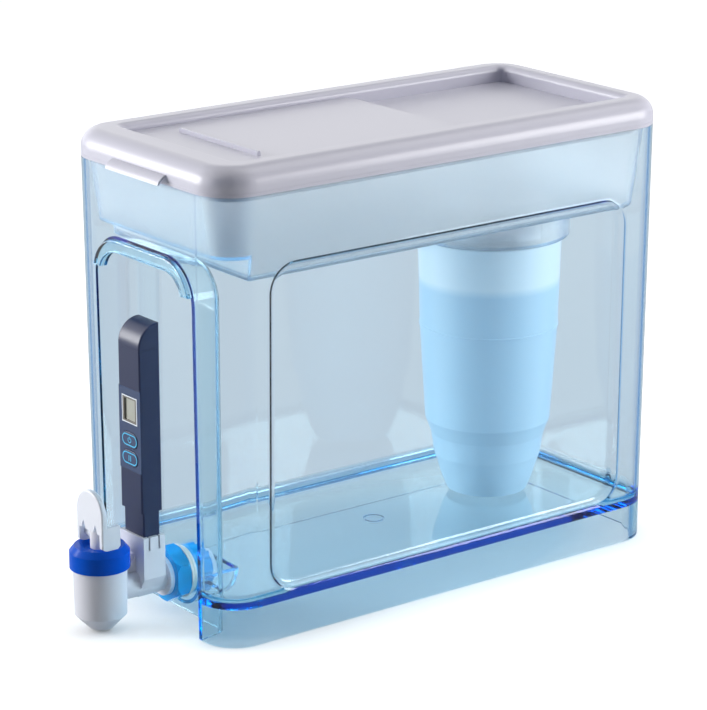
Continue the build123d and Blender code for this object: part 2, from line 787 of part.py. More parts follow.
with BuildPart() as tester_case:
    add(case_side_outline(tester_waist, cap_seam - seat_gap))
    with BuildSketch(Plane((0, tester_y, tester_waist))):
        Rectangle(tip_width, tip_depth)
    extrude(amount=tester_foot - tester_waist)
    fillet(tester_case.edges().filter_by(Axis.Z).filter_by(lambda e: e.center().Z < tester_waist), tip_round)
    # hollow from the battery end down to the tip
    with BuildSketch(Plane((0, tester_y, cap_seam))):
        Rectangle(tester_width - 2 * case_wall, tester_depth - 2 * case_wall)
    extrude(amount=tester_waist - cap_seam, mode=Mode.SUBTRACT)
    with BuildSketch(Plane((0, tester_y, tester_waist))):
        Rectangle(tip_width - 2 * case_wall, tip_depth - 2 * case_wall)
    extrude(amount=tester_foot + case_wall - tester_waist, mode=Mode.SUBTRACT)
    # shallow bed for the face label
    with BuildSketch(case_front):
        with Locations((0, (label_bottom + label_top) / 2)):
            Rectangle(tester_width, label_top - label_bottom)
    extrude(amount=-label_depth, mode=Mode.SUBTRACT)
    # openings for the window and the two buttons
    with BuildSketch(case_front):
        with Locations((0, window_middle)):
            Rectangle(window_width, window_top - window_bottom)
        with Locations(*[(0, height) for height in button_heights.values()]):
            SlotOverall(button_width + 2 * slide_gap, button_height + 2 * slide_gap)
    extrude(amount=-case_wall - overrun, mode=Mode.SUBTRACT)
    # holes for the probe pins
    with BuildSketch(Plane((0, tester_y, tester_foot))):
        with GridLocations(probe_spacing, 0, 2, 1):
            Circle(probe_radius + running_gap)
    extrude(amount=case_wall, mode=Mode.SUBTRACT)
finish(tester_case, "tester_case")

with BuildPart() as face_label:
    with BuildSketch(facing_front(tester_front_y)):
        with Locations((0, (label_bottom + label_top) / 2)):
            Rectangle(tester_width, label_top - label_bottom - 2 * seat_gap)
        with Locations((0, window_middle)):
            Rectangle(window_width, window_top - window_bottom, mode=Mode.SUBTRACT)
        with Locations(*[(0, height) for height in button_heights.values()]):
            SlotOverall(button_width + 2 * slide_gap, button_height + 2 * slide_gap, mode=Mode.SUBTRACT)
    extrude(amount=-label_depth + seat_gap)
finish(face_label, "face_label")

with BuildPart() as window_frame:
    with BuildSketch(facing_front(tester_front_y)):
        with Locations((0, window_middle)):
            Rectangle(window_width - 2 * seat_gap, window_top - window_bottom - 2 * seat_gap)
            Rectangle(glass_width, glass_height, mode=Mode.SUBTRACT)
    extrude(amount=-window_thickness)
finish(window_frame, "window_frame")

with BuildPart() as lcd_panel:
    with BuildSketch(facing_front(tester_front_y + window_thickness + seat_gap)):
        with Locations((0, window_middle)):
            Rectangle(window_width - 2 * slide_gap, window_top - window_bottom - 2 * slide_gap)
    extrude(amount=-lcd_thickness)
finish(lcd_panel, "lcd_panel")

board_y = tester_front_y + window_thickness + lcd_thickness + 2 * seat_gap
board_width = tester_width - 2 * case_wall - 2 * slide_gap
dome_height = board_y - tester_front_y - button_depth - button_travel - dome_gap
with BuildPart() as tester_board:
    with BuildSketch(facing_front(board_y)):
        with Locations((0, (board_foot + label_top) / 2)):
            Rectangle(board_width, label_top - board_foot)
    extrude(amount=-board_thickness)
    # two domes under the buttons
    for height in button_heights.values():
        with BuildSketch(facing_front(board_y)):
            with Locations((0, height)):
                Circle(dome_radius)
        extrude(amount=dome_height)
finish(tester_board, "tester_board")

for name, height in button_heights.items():
    with BuildPart() as button:
        with BuildSketch(facing_front(tester_front_y - button_proud)):
            with Locations((0, height)):
                SlotOverall(button_width, button_height)
        extrude(amount=-button_depth - button_proud)
        fillet(button.faces().sort_by(Axis.Y)[0].edges(), button_round)
    finish(button, name)

with BuildPart() as probe_pins:
    with BuildSketch(Plane((0, tester_y, tester_foot - probe_length))):
        with GridLocations(probe_spacing, 0, 2, 1):
            Circle(probe_radius)
    extrude(amount=probe_length + probe_tail)
finish(probe_pins, "probe_pins")

tray_depth = tester_depth - 2 * case_wall - 2 * slide_gap
with BuildPart() as battery_cap:
    add(case_side_outline(cap_seam, tester_top))
    with BuildSketch(Plane((0, tester_y, cap_seam))):
        Rectangle(board_width, tray_depth)
    extrude(amount=-plug_depth)
finish(battery_cap, "battery_cap")

with BuildPart() as battery_tray:
    with BuildSketch(facing_front(tester_y - tray_depth / 2)):
        with Locations((0, (tray_top + tray_bottom) / 2)):
            Rectangle(board_width, tray_top - tray_bottom)
        with Locations((0, coin_z)):
            Circle(coin_radius + slide_gap, mode=Mode.SUBTRACT)
    extrude(amount=-tray_depth)
finish(battery_tray, "battery_tray")

with BuildPart() as coin_cells:
    for index in range(2):
        coin_y = tester_y - coin_thickness - seat_gap + index * (coin_thickness + 2 * seat_gap)
        with BuildSketch(facing_front(coin_y)):
            with Locations((0, coin_z)):
                Circle(coin_radius)
        extrude(amount=-coin_thickness)
finish(coin_cells, "coin_cells")

# ============================================================================================
# Reservoir
# ============================================================================================
filter_y = back_y - filter_back_margin
reservoir_floor = tank_height - reservoir_drop
socket_floor = reservoir_floor - socket_drop
socket_radius = neck_ring_radius + lug_reach + socket_margin
reservoir_width = tank_width - 2 * (tank_wall + reservoir_side_gap)
reservoir_length = tank_length - 2 * (tank_wall + reservoir_end_gap)
rim_seat = tank_height + seat_gap
step_z = niche_top + tank_wall + reservoir_step_gap
step_y = niche_inner_y + reservoir_step_gap
flange_width = tank_width - 2 * (lid_lip + slide_gap)
flange_length = tank_length - 2 * (lid_lip + slide_gap)


def reservoir_block(margin, bottom):
    """Drafted block of the reservoir with its step over the niche, smaller all round by the margin."""
    with BuildPart() as block:
        width, length = reservoir_width - 2 * margin, reservoir_length - 2 * margin
        with BuildSketch(level(rim_seat + reservoir_flange)):
            RectangleRounded(width, length, reservoir_corner - margin)
        extrude(amount=bottom - rim_seat - reservoir_flange, taper=reservoir_draft)
        with BuildSketch(Plane((0, step_y + margin, 0))):
            with Locations((0, -tank_length / 2)):
                Rectangle(tank_width, tank_length)
        extrude(amount=step_z + margin, mode=Mode.SUBTRACT)
        fillet(block.faces().sort_by(Axis.Z)[0].edges(), reservoir_round)
    return block.part


with BuildPart() as reservoir:
    add(reservoir_block(0, reservoir_floor))
    with BuildSketch(level(rim_seat)):
        RectangleRounded(flange_width, flange_length, tank_corner - lid_lip - slide_gap)
    extrude(amount=reservoir_flange)
    # socket for the filter
    with BuildSketch(Plane((0, filter_y, socket_floor))):
        Circle(socket_radius)
    extrude(amount=reservoir_floor + reservoir_wall / 2 - socket_floor)
    fillet(reservoir.faces().sort_by(Axis.Z)[0].edges(), socket_round)
    add(reservoir_block(reservoir_wall, reservoir_floor + reservoir_wall), mode=Mode.SUBTRACT)
    with BuildSketch(Plane((0, filter_y, socket_floor + socket_wall))):
        Circle(socket_radius - socket_wall)
    extrude(amount=reservoir_floor + 4 * reservoir_wall - socket_floor, mode=Mode.SUBTRACT)
    # hole for the filter's neck, with a notch for each of its lugs a part turn away
    with BuildSketch(Plane((0, filter_y, socket_floor - overrun))):
        Circle(neck_ring_radius + slide_gap)
    extrude(amount=socket_wall + 2 * overrun, mode=Mode.SUBTRACT)
    notch_angle = lug_angle + 2 * notch_play
    for index in range(lug_count):
        notch_start = (index + 0.5) * 360 / lug_count - notch_angle / 2
        with BuildSketch(Plane((0, filter_y, socket_floor - overrun))):
            with BuildLine():
                notch_reach = neck_ring_radius + lug_reach + slide_gap
                CenterArc((0, 0), notch_reach, notch_start, notch_angle)
                CenterArc((0, 0), neck_ring_radius, notch_start, notch_angle)
                for angle in (notch_start, notch_start + notch_angle):
                    PolarLine(Vector(neck_ring_radius, 0).rotate(Axis.Z, angle), lug_reach + slide_gap, angle)
            make_face()
        extrude(amount=socket_wall + 2 * overrun, mode=Mode.SUBTRACT)
finish(reservoir, "reservoir")

# ============================================================================================
# Filter
# ============================================================================================
filter_head = socket_floor - seal_thickness
filter_foot = floor_top + filter_floor_gap
neck_ring_top = socket_floor + neck_ring_rise
seal_inner = neck_ring_radius + seal_gap
seal_outer = seal_inner + seal_width
resin_bottom = filter_foot + resin_rise
shell_steps = [
    (filter_foot, foot_radius),
    (filter_foot + heel_rise, heel_radius),
    (filter_foot + waist_rise, waist_radius),
    (filter_foot + shoulder_foot_rise, shoulder_foot_radius),
    (filter_foot + shoulder_rise, shoulder_radius),
    (filter_seam, seam_radius),
    (filter_head, seal_outer + seal_margin),
]
filter_axis = Axis((0, filter_y, 0), (0, 0, 1))
filter_plane = sideways(0, filter_y)


def shell_radius(height):
    """Outer radius of the filter's shells at this height."""
    for (low_z, low_r), (high_z, high_r) in zip(shell_steps, shell_steps[1:]):
        if low_z <= height <= high_z:
            return low_r + (high_r - low_r) * (height - low_z) / (high_z - low_z)
    return shell_steps[-1][1]


def stack_outline(bottom, top, inset):
    """Points of the shells' outline between two heights, set in towards the axis."""
    heights = [bottom] + [z for z, _ in shell_steps if bottom < z < top] + [top]
    return [(shell_radius(z) - inset, z) for z in heights]


def turned(points):
    """Solid turned about the filter's axis from points of radius and height."""
    with BuildPart() as piece:
        with BuildSketch(filter_plane):
            Polygon(*points)
        revolve(axis=filter_axis)
    return piece.part


with BuildPart() as filter_cup:
    outside = stack_outline(filter_foot, filter_seam - seat_gap, 0)
    inside = stack_outline(filter_foot + filter_skin, filter_seam - seat_gap, filter_skin)
    add(turned([(0, filter_foot)] + outside + inside[::-1] + [(0, filter_foot + filter_skin)]))
    # drip holes in the foot
    with BuildSketch(Plane((0, filter_y, filter_foot))):
        Circle(outlet_hole)
        with PolarLocations(outlet_pitch_radius, outlet_count):
            Circle(outlet_hole)
    extrude(amount=filter_skin, mode=Mode.SUBTRACT)
finish(filter_cup, "filter_cup")

with BuildPart() as filter_sleeve:
    outside = stack_outline(filter_seam, filter_head, 0)
    inside = stack_outline(filter_seam, filter_head - filter_skin, filter_skin)
    neck_inner = neck_ring_radius - neck_ring_wall
    add(turned(
        outside
        + [(neck_ring_radius, filter_head), (neck_ring_radius, neck_ring_top), (neck_inner, neck_ring_top)]
        + [(neck_inner, filter_head - filter_skin)]
        + inside[::-1]
    ))
    # welded bead over the seam
    add(turned([
        (shell_radius(filter_seam) - filter_skin / 2, filter_seam),
        (shell_radius(filter_seam) + seam_bead, filter_seam),
        (shell_radius(filter_seam) + seam_bead, filter_seam + seam_bead_height / 2),
        (shell_radius(filter_seam) - filter_skin / 2, filter_seam + seam_bead_height),
    ]))
    # bayonet lugs over the socket's floor
    lug_foot = socket_floor + socket_wall + seat_gap
    lug_root = neck_ring_radius - neck_ring_wall / 2
    lug_tip = neck_ring_radius + lug_reach
    for index in range(lug_count):
        lug_start = index * 360 / lug_count - lug_angle / 2
        with BuildSketch(Plane((0, filter_y, lug_foot))):
            with BuildLine():
                CenterArc((0, 0), lug_tip, lug_start, lug_angle)
                CenterArc((0, 0), lug_root, lug_start, lug_angle)
                for angle in (lug_start, lug_start + lug_angle):
                    PolarLine(Vector(lug_root, 0).rotate(Axis.Z, angle), lug_tip - lug_root, angle)
            make_face()
        extrude(amount=lug_thickness)
finish(filter_sleeve, "filter_sleeve")

with BuildPart() as filter_seal:
    add(turned([
        (seal_inner, filter_head + seat_gap),
        (seal_outer, filter_head + seat_gap),
        (seal_outer, socket_floor - seat_gap),
        (seal_inner, socket_floor - seat_gap),
    ]))
finish(filter_seal, "filter_seal")


with BuildPart() as inlet_screen:
    with BuildSketch(Plane((0, filter_y, filter_head - filter_skin))):
        Circle(neck_inner - media_gap)
        with HexLocations(screen_pitch, screen_rows, screen_rows):
            Circle(screen_hole, mode=Mode.SUBTRACT)
    extrude(amount=screen_thickness)
finish(inlet_screen, "inlet_screen")

def filling(bottom, top):
    """Round bed that fills the filter's shells between two heights."""
    return turned([(0, bottom)] + stack_outline(bottom, top, filter_skin + media_gap) + [(0, top)])


foam_top = filter_head - filter_skin - media_gap
foam_bottom = foam_top - foam_thickness
with BuildPart() as foam_disc:
    add(filling(foam_bottom, foam_top))
finish(foam_disc, "foam_disc")

carbon_bottom = filter_seam + 2 * media_gap
with BuildPart() as carbon_bed:
    add(filling(carbon_bottom, foam_bottom - media_gap))
finish(carbon_bed, "carbon_bed")

with BuildPart() as resin_bed:
    add(filling(resin_bottom, carbon_bottom - media_gap))
finish(resin_bed, "resin_bed")

membrane_top = resin_bottom - media_gap
with BuildPart() as membrane_disc:
    add(filling(membrane_top - membrane_thickness, membrane_top))
finish(membrane_disc, "membrane_disc")

# ============================================================================================
# Lid and fill door
# ============================================================================================
lid_top = tank_height + lid_height
well_floor = tank_height + well_floor_height
door_top = well_floor + door_height
well_width = tank_width - 2 * well_side_margin
well_length = tank_length - well_front_margin - well_back_margin
well_y = tank_y + (well_front_margin - well_back_margin) / 2
door_width = well_width - 2 * slide_gap
door_y = front_y + well_front_margin + slide_gap + door_length / 2
door_front_y = door_y - door_length / 2
fill_y = door_front_y + fill_margin + fill_length / 2

with BuildPart() as lid_inside:
    with BuildSketch(level(rim_seat + reservoir_flange + seat_gap)):
        RectangleRounded(tank_width - 2 * lid_wall, tank_length - 2 * lid_wall, tank_corner - lid_wall)
    extrude(amount=lid_top - lid_wall - rim_seat - reservoir_flange - seat_gap)
    fillet(lid_inside.faces().sort_by(Axis.Z)[-1].edges(), lid_round - lid_wall)
    # the walls and the floor of the well stay
    with BuildSketch(Plane((0, well_y, well_floor - web_thickness))):
        RectangleRounded(well_width + 2 * lid_wall, well_length + 2 * lid_wall, well_corner + lid_wall)
    extrude(amount=lid_top, mode=Mode.SUBTRACT)

with BuildPart() as pull_tab:
    tab_foot = lid_foot + pull_tab_foot
    with BuildSketch(sideways(-pull_tab_width / 2)):
        with BuildLine():
            Line((front_y + lid_wall / 2, tab_foot), (front_y - pull_tab_reach, tab_foot))
            tab_top = tab_foot + pull_tab_height
            RadiusArc((front_y - pull_tab_reach, tab_foot), (front_y + lid_wall / 2, tab_top), pull_tab_round)
            Line((front_y + lid_wall / 2, tab_foot + pull_tab_height), (front_y + lid_wall / 2, tab_foot))
        make_face()
        with BuildLine():
            inner_y = front_y - pull_tab_reach + pull_tab_wall
            inner_z = tab_top - pull_tab_wall
            Line((front_y, tab_foot), (inner_y, tab_foot))
            RadiusArc((inner_y, tab_foot), (front_y, inner_z), pull_tab_round - pull_tab_wall)
            Line((front_y, inner_z), (front_y, tab_foot))
        make_face(mode=Mode.SUBTRACT)
    extrude(amount=pull_tab_width)

with BuildPart() as lid:
    with BuildSketch(level(lid_foot)):
        RectangleRounded(tank_width, tank_length, tank_corner)
    extrude(amount=lid_top - lid_foot)
    fillet(lid.faces().sort_by(Axis.Z)[-1].edges(), lid_round)
    add(pull_tab.part)
    # sunken well in the top
    with BuildSketch(Plane((0, well_y, well_floor))):
        RectangleRounded(well_width, well_length, well_corner)
    extrude(amount=lid_top, mode=Mode.SUBTRACT)
    fillet(lid.faces().filter_by(Axis.Z).sort_by(Axis.Z)[-1].inner_wires()[0].edges(), well_round)
    # hollow underside, and the lip that hangs over the reservoir's flange
    add(lid_inside.part, mode=Mode.SUBTRACT)
    with BuildSketch(level(lid_foot)):
        RectangleRounded(tank_width - 2 * lid_lip, tank_length - 2 * lid_lip, tank_corner - lid_lip)
    extrude(amount=rim_seat + reservoir_flange + seat_gap - lid_foot, mode=Mode.SUBTRACT)
    # rib that drops inside the reservoir's mouth
    rib_width = reservoir_width - 2 * reservoir_wall - 2 * locating_gap
    rib_span = reservoir_length - 2 * reservoir_wall - 2 * locating_gap
    with BuildSketch(level(rim_seat + reservoir_flange - locating_drop)):
        RectangleRounded(rib_width, rib_span, reservoir_corner - reservoir_wall)
        RectangleRounded(
            rib_width - 2 * locating_rib,
            rib_span - 2 * locating_rib,
            reservoir_corner - reservoir_wall - locating_rib,
            mode=Mode.SUBTRACT,
        )
    extrude(amount=lid_top - lid_wall / 2 - rim_seat - reservoir_flange + locating_drop)
    # fill opening in the well's floor
    with BuildSketch(Plane((0, fill_y, well_floor))):
        RectangleRounded(fill_width, fill_length, fill_corner)
    extrude(amount=-web_thickness - overrun, mode=Mode.SUBTRACT)
    # fine groove round the lip
    groove_width, groove_length = tank_width - groove_size, tank_length - groove_size
    with BuildSketch(level(lid_foot + groove_height)):
        RectangleRounded(tank_width + 2 * overrun, tank_length + 2 * overrun, tank_corner + overrun)
        RectangleRounded(groove_width, groove_length, tank_corner - groove_size / 2, mode=Mode.SUBTRACT)
        with Locations((0, -tank_length / 2)):
            Rectangle(pull_tab_width, 2 * tank_corner, mode=Mode.SUBTRACT)
    extrude(amount=groove_size, mode=Mode.SUBTRACT)
finish(lid, "lid")

with BuildPart() as fill_door:
    with BuildSketch(Plane((0, door_y, well_floor + seat_gap))):
        RectangleRounded(door_width, door_length, door_corner)
    extrude(amount=door_top - well_floor - seat_gap)
    with BuildSketch(Plane((0, door_y, well_floor))):
        RectangleRounded(door_width - 2 * door_rim, door_length - 2 * door_rim, door_corner - door_rim)
    extrude(amount=door_top - door_plate - well_floor, mode=Mode.SUBTRACT)
    fillet(fill_door.faces().sort_by(Axis.Z)[-1].edges(), door_round)
    with BuildSketch(Plane((0, door_front_y + rib_margin, door_top))):
        Rectangle(rib_length, rib_thickness)
    extrude(amount=rib_height, taper=rib_draft)
    fillet(fill_door.faces().sort_by(Axis.Z)[-1].edges(), rib_round)
finish(fill_door, "fill_door")
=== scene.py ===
import json
import math

import bmesh
import bpy
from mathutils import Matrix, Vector

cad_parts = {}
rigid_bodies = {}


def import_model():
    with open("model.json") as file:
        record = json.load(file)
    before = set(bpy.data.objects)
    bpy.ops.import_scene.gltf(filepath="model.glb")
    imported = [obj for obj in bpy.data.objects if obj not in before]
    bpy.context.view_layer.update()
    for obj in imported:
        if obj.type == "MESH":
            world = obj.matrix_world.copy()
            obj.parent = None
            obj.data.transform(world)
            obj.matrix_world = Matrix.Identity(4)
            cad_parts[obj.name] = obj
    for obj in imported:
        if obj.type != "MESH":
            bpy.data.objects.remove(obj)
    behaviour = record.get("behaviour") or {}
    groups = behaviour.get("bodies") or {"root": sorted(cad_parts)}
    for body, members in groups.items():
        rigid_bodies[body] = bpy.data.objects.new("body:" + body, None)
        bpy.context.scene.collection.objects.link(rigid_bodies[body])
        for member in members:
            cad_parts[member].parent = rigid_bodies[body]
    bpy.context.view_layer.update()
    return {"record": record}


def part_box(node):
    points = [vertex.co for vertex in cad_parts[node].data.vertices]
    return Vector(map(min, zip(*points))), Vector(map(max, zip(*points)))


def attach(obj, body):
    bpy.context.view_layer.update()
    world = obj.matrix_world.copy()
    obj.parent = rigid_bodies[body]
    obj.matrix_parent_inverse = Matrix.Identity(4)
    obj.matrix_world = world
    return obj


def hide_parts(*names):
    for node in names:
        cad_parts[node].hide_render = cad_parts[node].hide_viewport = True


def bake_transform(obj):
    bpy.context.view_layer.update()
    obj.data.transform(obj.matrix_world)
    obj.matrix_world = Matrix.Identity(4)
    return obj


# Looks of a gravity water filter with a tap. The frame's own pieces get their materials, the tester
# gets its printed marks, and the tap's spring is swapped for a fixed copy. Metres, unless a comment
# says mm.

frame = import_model()
scene = bpy.context.scene

PAINTED_LIGHT_LINE = 0.186                       # the filter cup is painted lighter above this height and darker below: partly the grains behind it, partly painted light and reflection on its upper part
FOOTPRINT = (0.10, 0.205)               # half width and half length of the table under the tank, which gets a painted pool of blue light
VIEW_AHEAD = (-0.7945, 0.6072, 0.0)     # the photograph's direction of view, along the floor
VIEW_RIGHT = (0.6072, 0.7945, 0.0)      # and its right-hand side


# ---- materials ------------------------------------------------------------------------------
def srgb(r, g, b):
    """Linear colour of an sRGB colour given from 0 to 255."""
    return tuple(((c / 255 + 0.055) / 1.055) ** 2.4 for c in (r, g, b)) + (1.0,)


class Graph:
    """Node tree of a material or a world, with short calls that fill it."""

    def __init__(self, owner):
        owner.use_nodes = True
        self.tree = owner.node_tree

    def __getitem__(self, name):
        return self.tree.nodes[name]

    def add(self, kind, **values):
        """New node. A value sets the node's property of that name, or else its input."""
        node = self.tree.nodes.new("ShaderNode" + kind)
        for key, value in values.items():
            if hasattr(node, key):
                setattr(node, key, value)
            else:
                node.inputs[key.replace("_", " ")].default_value = value
        return node

    def link(self, output, socket):
        self.tree.links.new(output, socket)

    def times(self, output, factor):
        """Output times another output or a number."""
        node = self.add("Math", operation="MULTIPLY")
        self.link(output, node.inputs[0])
        if isinstance(factor, float):
            node.inputs[1].default_value = factor
        else:
            self.link(factor, node.inputs[1])
        return node.outputs[0]

    def mix(self, factor, first, second):
        """First shader where factor is 0, second where it is 1."""
        node = self.add("MixShader")
        for socket, output in zip(node.inputs, (factor, first, second)):
            self.link(output, socket)
        return node.outputs[0]


def finish(name, **values):
    """New material, its graph and its shader with these values."""
    mat = bpy.data.materials.new(name)
    graph = Graph(mat)
    bsdf = graph["Principled BSDF"]
    for key, value in values.items():
        bsdf.inputs[key.replace("_", " ")].default_value = value
    return mat, graph, bsdf


def plastic(name, colour, roughness, grain=0.0, grain_scale=900.0, specular=0.5):
    """Opaque moulded plastic. Grain is the strength of its fine bumps."""
    mat, graph, bsdf = finish(name, Base_Color=colour, Roughness=roughness,
                              Specular_IOR_Level=specular)
    if grain:
        place = graph.add("TexCoord")
        noise = graph.add("TexNoise", Scale=grain_scale, Detail=2.0)
        bump = graph.add("Bump", Strength=grain, Distance=0.0002)
        graph.link(place.outputs["Object"], noise.inputs["Vector"])
        graph.link(noise.outputs["Fac"], bump.inputs["Height"])
        graph.link(bump.outputs["Normal"], bsdf.inputs["Normal"])
    return mat


def clear(name, colour, density, ior=1.49, roughness=0.02, body=1.0, base=(1, 1, 1, 1)):
    """Clear moulded plastic that takes light along its thickness and lets the lamps through.

    A body below 1 makes it hazy, as part of the light is then scattered at its faces.
    """
    mat, graph, bsdf = finish(name, Base_Color=base, Roughness=roughness, IOR=ior,
                              Transmission_Weight=body)
    path = graph.add("LightPath")
    lamplight = graph.add("BsdfTransparent", Color=(0.96, 0.945, 0.95, 1))
    surface = graph.mix(path.outputs["Is Shadow Ray"], bsdf.outputs[0], lamplight.outputs[0])
    graph.link(surface, graph["Material Output"].inputs["Surface"])
    volume = graph.add("VolumeAbsorption", Color=colour, Density=density)
    graph.link(volume.outputs[0], graph["Material Output"].inputs["Volume"])
    return mat


def painted_light_cup(name):
    """Milky filter plastic: darker below a line for its grains, lighter above it as painted light and
    reflection.
    """
    mat, graph, bsdf = finish(name, Roughness=0.34, Coat_Weight=0.25)
    place = graph.add("TexCoord")
    axes = graph.add("SeparateXYZ")
    graph.link(place.outputs["Object"], axes.inputs[0])
    # painted light: the cup turns lighter above the line, a painted reflection and light on its upper
    # part
    level = graph.add("MapRange", From_Min=PAINTED_LIGHT_LINE - 0.004, From_Max=PAINTED_LIGHT_LINE + 0.002)
    graph.link(axes.outputs["Z"], level.inputs["Value"])
    painted_light_ramp = graph.add("ValToRGB")
    painted_light_ramp.color_ramp.elements[0].color = (0.44, 0.59, 0.71, 1)
    painted_light_ramp.color_ramp.elements[1].color = (0.70, 0.76, 0.81, 1)
    graph.link(level.outputs["Result"], painted_light_ramp.inputs["Fac"])
    graph.link(painted_light_ramp.outputs["Color"], bsdf.inputs["Base Color"])
    return mat


def metal(name, colour, roughness):
    return finish(name, Base_Color=colour, Metallic=1.0, Roughness=roughness)[0]


TRIM = plastic("trim_silver", srgb(225, 232, 240), 0.3)
PRINT = plastic("cyan_print", srgb(70, 190, 235), 0.4)
RESERVOIR = clear("clear_reservoir", (0.36, 0.70, 0.88, 1), 60.0, ior=1.9, roughness=0.25,
                  body=0.89, base=(1.0, 0.90, 0.87, 1))
LOOKS = {                # material slot of the record: its finish
    "clear_blue": clear("clear_blue", (0.32, 0.81, 0.955, 1), 75.0),
    "lid_grey": plastic("lid_grey", srgb(206, 205, 218), 0.30, grain=0.04),
    "tap_grey": plastic("tap_grey", srgb(222, 222, 230), 0.36, grain=0.03),
    "lever_white": plastic("lever_white", srgb(232, 235, 243), 0.35, grain=0.02),
    "royal_blue": plastic("royal_blue", (0.001, 0.085, 0.58, 1), 0.2, specular=0.08),
    "nut_blue": clear("nut_blue", (0.0, 0.66, 0.90, 1), 50.0, roughness=0.05, body=0.6,
                      base=(0.05, 0.60, 1.0, 1)),
    "white_plastic": plastic("white_plastic", srgb(232, 232, 235), 0.4),
    "silicone": plastic("silicone", srgb(214, 214, 210), 0.6),
    "steel": metal("steel", srgb(205, 205, 208), 0.25),
    "filter_blue": painted_light_cup("filter_blue"),
    "carbon": plastic("carbon", srgb(46, 48, 50), 0.85, grain=0.8, grain_scale=700),
    "resin": plastic("resin", srgb(90, 120, 160), 0.6, grain=0.8, grain_scale=700),
    "foam": plastic("foam", srgb(225, 225, 215), 0.95, grain=0.8, grain_scale=900),
    "membrane": plastic("membrane", srgb(238, 238, 236), 0.9, grain=0.5, grain_scale=500),
    "meter_dark": plastic("meter_dark", srgb(30, 40, 74), 0.32, grain=0.02, specular=0.4),
    "label_dark": plastic("label_dark", srgb(50, 68, 104), 0.25),
    # painted shade: the bezel is a darker, warm copy of the display's colour, standing for the
    # display's shaded edge
    "bezel_black": plastic("bezel_painted_shade", srgb(120, 117, 110), 0.25),
    "lcd": plastic("lcd", srgb(176, 178, 168), 0.25),
    "board_green": plastic("board_green", srgb(36, 90, 62), 0.5),
    "key_dark": plastic("key_dark", srgb(52, 68, 104), 0.25),
    "cell_steel": metal("cell_steel", srgb(205, 204, 200), 0.3),
}
for part in frame["record"]["subparts"]:
    obj = bpy.data.objects[part["node"]]
    look = RESERVOIR if part["node"] == "reservoir" else LOOKS[part["material_slot"]]
    for slot in obj.material_slots:
        slot.material = look
    if not obj.material_slots:
        obj.data.materials.append(look)


# ---- tap spring: a fixed copy of its mesh stands in for it ----
coil = bpy.data.objects.new("tap_spring_coil", bpy.data.objects["tap_spring"].data.copy())
scene.collection.objects.link(coil)
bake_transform(coil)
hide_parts("tap_spring")


# ---- marks on the tester, in mm: a line round its window, and a symbol in an outline on each key ----
LINE_SUNK = 0.2          # a mark's back behind the face that it is printed on
LINE_PROUD = 0.05        # and its front before it


def edge_normals(points, closed):
    """For each point, the normals of the one or two line pieces that meet there."""
    count = len(points)
    for i, here in enumerate(points):
        pairs = []
        if i or closed:
            pairs.append((points[i - 1], here))
        if i < count - 1 or closed:
            pairs.append((here, points[(i + 1) % count]))
        normals = []
        for a, b in pairs:
            dx, dz = b[0] - a[0], b[1] - a[1]
            length = math.hypot(dx, dz)
            normals.append((-dz / length, dx / length))
        yield here, normals


def stroke(name, points, width, front, look, rider, closed=False):
    """Flat closed solid along the points (x, z), of even width, on the tester's front face."""
    verts = []
    for (x, z), normals in edge_normals(points, closed):
        nx, nz = (sum(normal[k] for normal in normals) for k in (0, 1))
        mitre = 2 / (nx * nx + nz * nz) if len(normals) == 2 else 1
        reach = width / 2 * mitre
        for y in (front + LINE_SUNK, front - LINE_PROUD):
            for sign in (1, -1):
                verts.append((x + sign * nx * reach, y, z + sign * nz * reach))
    count = len(points)
    faces = []
    for i in range(count if closed else count - 1):
        a, b = 4 * i, 4 * ((i + 1) % count)
        faces += [(a + p, b + p, b + q, a + q) for p, q in ((0, 2), (2, 3), (3, 1), (1, 0))]
    if not closed:
        last = 4 * (count - 1)
        faces += [(0, 2, 3, 1), (last, last + 1, last + 3, last + 2)]
    mesh = bpy.data.meshes.new(name)
    mesh.from_pydata([[c / 1000 for c in v] for v in verts], [], faces)
    mesh.update()
    obj = bpy.data.objects.new(name, mesh)
    scene.collection.objects.link(obj)
    bm = bmesh.new()
    bm.from_mesh(mesh)
    bmesh.ops.recalc_face_normals(bm, faces=bm.faces)
    bm.to_mesh(mesh)
    bm.free()
    mesh.materials.append(look)
    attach(obj, rider)


def front_of(node):
    """Middle x and z, and front y, of a node."""
    low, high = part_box(node)
    return (low[0] + high[0]) * 500, (low[2] + high[2]) * 500, low[1] * 1000


def arc(x, z, radius, start, end, count):
    """Points of an arc round (x, z), between two angles in degrees."""
    angles = [math.radians(start + (end - start) * i / count) for i in range(count + 1)]
    return [(x + radius * math.cos(angle), z + radius * math.sin(angle)) for angle in angles]


def pill(x, z, width, height):
    """Outline with two round ends."""
    half, radius = width / 2 - height / 2, height / 2
    return arc(x + half, z, radius, -90, 90, 14) + arc(x - half, z, radius, 90, 270, 14)


x, z, front = front_of("window_frame")
corners = [(x + 8.3 * side, z + 8.8 * rise) for side, rise in ((-1, -1), (1, -1), (1, 1), (-1, 1))]
stroke("window_line", corners, 0.8, front, TRIM, "tester_unit", closed=True)
for key in ("power", "hold"):
    x, z, front = front_of(key + "_button")
    marks = [("outline", pill(x, z, 16.2, 7.2), 0.75, True)]
    if key == "power":
        marks += [("ring", arc(x, z, 1.75, 125, 415, 20), 0.55, False),
                  ("bar", [(x, z + 0.3), (x, z + 2.4)], 0.55, False)]
    else:
        marks += [("bar_left", [(x - 1.0, z - 1.9), (x - 1.0, z + 1.9)], 0.7, False),
                  ("bar_right", [(x + 1.0, z - 1.9), (x + 1.0, z + 1.9)], 0.7, False)]
    for mark, points, width, closed in marks:
        stroke(f"{key}_{mark}", points, width, front, PRINT, key + "_key", closed)


